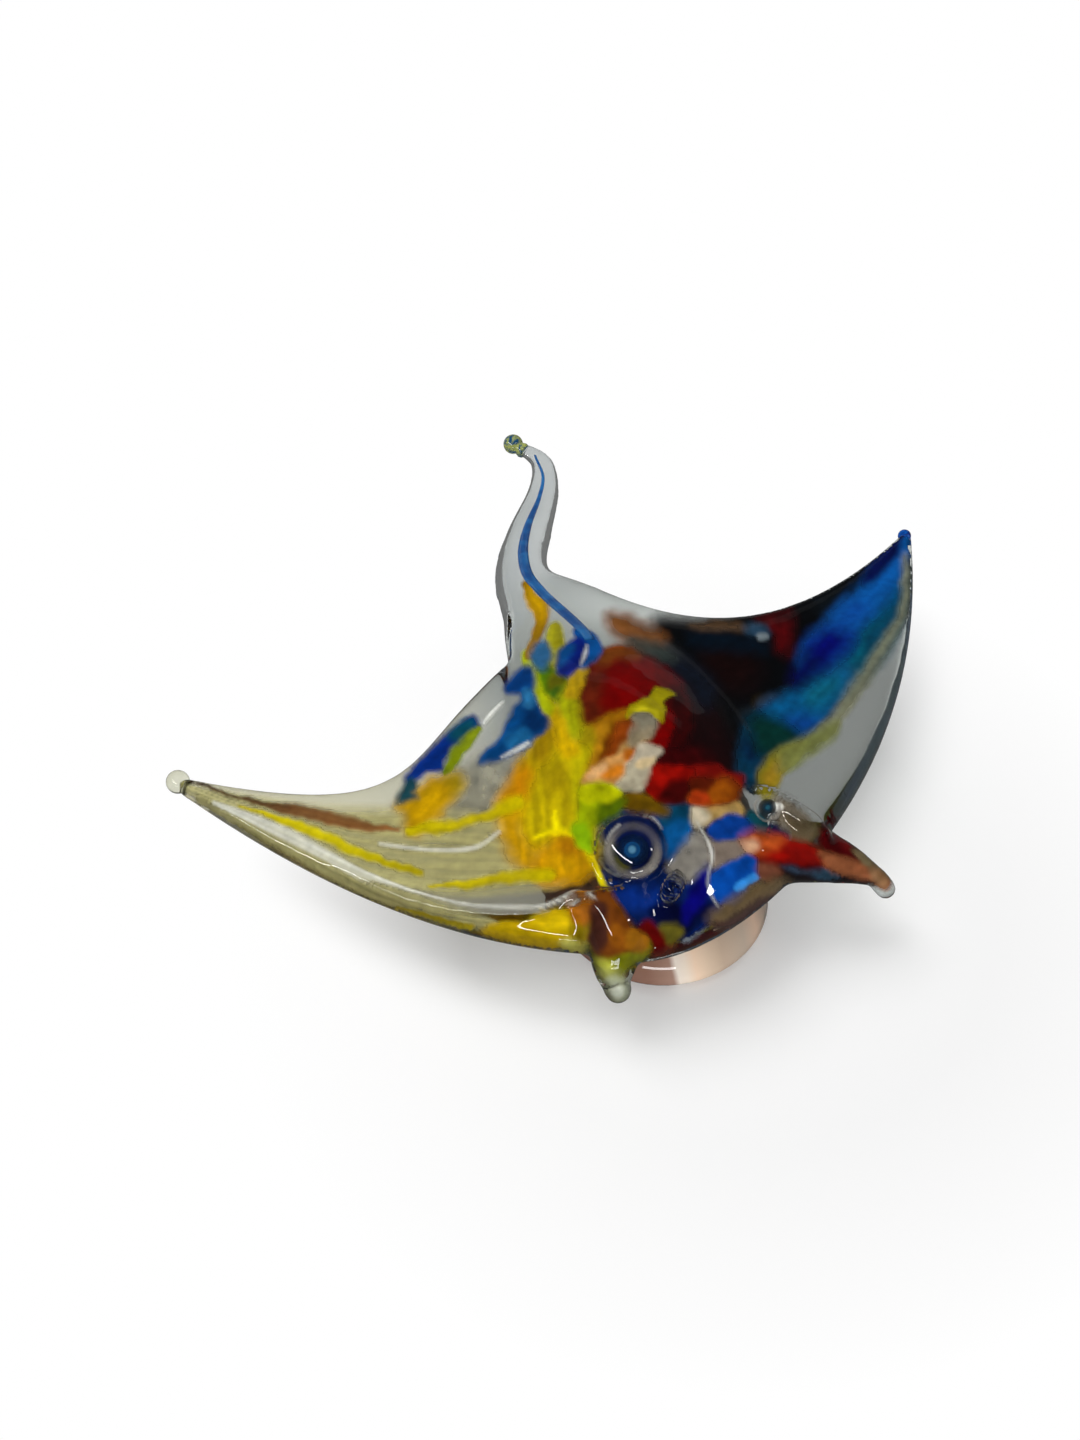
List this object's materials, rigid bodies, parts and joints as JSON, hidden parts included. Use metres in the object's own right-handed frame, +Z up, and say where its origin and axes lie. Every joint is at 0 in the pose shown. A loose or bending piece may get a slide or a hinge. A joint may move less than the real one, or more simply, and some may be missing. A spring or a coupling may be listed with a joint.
{
  "type": "glass animal figurine",
  "caption": "Solid clear glass manta ray with colour chips cased inside, a curled tail, head fins and domed eyes, standing on a round glass foot.",
  "frame": {"origin": "middle of the foot's flat resting face", "axes": "+Z up, square to the resting face; head towards -Y; the ray's left wing towards +X"},
  "size_m": [0.1877, 0.1518, 0.0363],
  "materials": {
    "clear_glass": "clear, fire-polished",
    "pink_glass": "pale pink, fire-polished",
    "ruby_glass": "ruby red, cased",
    "maroon_glass": "dark maroon",
    "orange_glass": "orange, cased",
    "amber_glass": "amber, cased",
    "yellow_glass": "opaque yellow, cased",
    "lime_glass": "yellow-green",
    "green_glass": "dark green, cased",
    "teal_glass": "teal, cased",
    "cobalt_glass": "cobalt blue",
    "ivory_glass": "opaque ivory, cased",
    "peach_glass": "opaque peach, cased",
    "brown_glass": "amber brown",
    "black_glass": "near-black ruby, cased",
    "straw_glass": "straw-coloured, drawn thin"
  },
  "bodies": {
    "root": {"clear_gather": "clear_glass", "clear_casing": "clear_glass", "foot": "pink_glass", "tail_thread": "cobalt_glass", "tail_tip_bead": "lime_glass", "right_wing_tip_bead": "clear_glass", "left_wing_tip_bead": "cobalt_glass", "right_head_fin": "brown_glass", "right_fin_drop": "clear_glass", "left_head_fin": "maroon_glass", "left_fin_drop": "clear_glass", "right_eye_lens": "clear_glass", "right_eye_ring": "brown_glass", "right_eye_pupil": "cobalt_glass", "left_eye_lens": "clear_glass", "left_eye_ring": "brown_glass", "left_eye_pupil": "cobalt_glass", "ruby_back_chip": "ruby_glass", "maroon_flank_chip": "maroon_glass", "yellow_spine_chip": "yellow_glass", "orange_shoulder_chip": "orange_glass", "amber_wing_chip": "amber_glass", "yellow_thread_chip": "yellow_glass", "blue_trail_outer_chip": "cobalt_glass", "blue_trail_inner_chip": "cobalt_glass", "blue_tail_root_chip": "cobalt_glass", "green_fleck_chip": "green_glass", "peach_back_chip": "peach_glass", "ivory_back_chip": "ivory_glass", "amber_back_chip": "amber_glass", "red_crown_chip": "ruby_glass", "orange_crown_chip": "orange_glass", "lemon_back_chip": "yellow_glass", "red_streak_chip": "ruby_glass", "lime_cheek_chip": "lime_glass", "cobalt_brow_chip": "cobalt_glass", "blue_snout_upper_chip": "cobalt_glass", "blue_snout_lower_chip": "cobalt_glass", "red_lip_chip": "ruby_glass", "brown_wing_streak_chip": "brown_glass", "yellow_wing_streak_chip": "yellow_glass", "yellow_fore_streak_chip": "yellow_glass", "yellow_fore_edge_chip": "yellow_glass", "straw_veil_chip": "straw_glass", "silver_streak_chip": "ivory_glass", "brown_flank_chip": "brown_glass", "black_wing_chip": "black_glass", "red_wing_fleck_chip": "ruby_glass", "blue_wing_chip": "cobalt_glass", "teal_wing_chip": "teal_glass", "green_wing_chip": "green_glass", "amber_wing_root_chip": "amber_glass", "khaki_band_chip": "straw_glass"}
  },
  "joints": []
}
